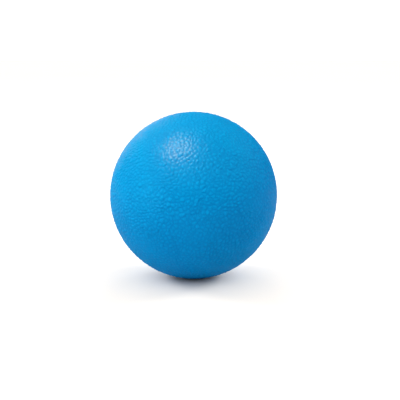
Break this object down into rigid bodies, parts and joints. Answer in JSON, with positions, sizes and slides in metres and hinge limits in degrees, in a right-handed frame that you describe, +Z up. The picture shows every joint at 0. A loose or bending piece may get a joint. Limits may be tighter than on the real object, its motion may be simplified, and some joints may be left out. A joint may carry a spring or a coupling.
{
  "type": "stress ball",
  "caption": "Round soft foam squeeze ball with a satin blue leather-grained skin, standing on the small flat that its own weight makes.",
  "frame": {"origin": "centre of the flat on the underside, where the ball meets the surface it rests on", "axes": "+Z up through the middle of the ball; -Y is the front, towards which the mould axis points, rising 10 degrees; +X to the right seen from the front"},
  "size_m": [0.063, 0.063, 0.0627],
  "materials": {
    "skin": "satin blue, fine moulded leather grain",
    "foam": "matte pale blue cellular foam",
    "touch_up_coat": "smooth satin blue coat"
  },
  "bodies": {
    "root": {"foam_core": "foam", "skin_front": "skin", "skin_rear": "skin", "seam_touch_up": "touch_up_coat", "vent_touch_up": "touch_up_coat"}
  },
  "joints": []
}
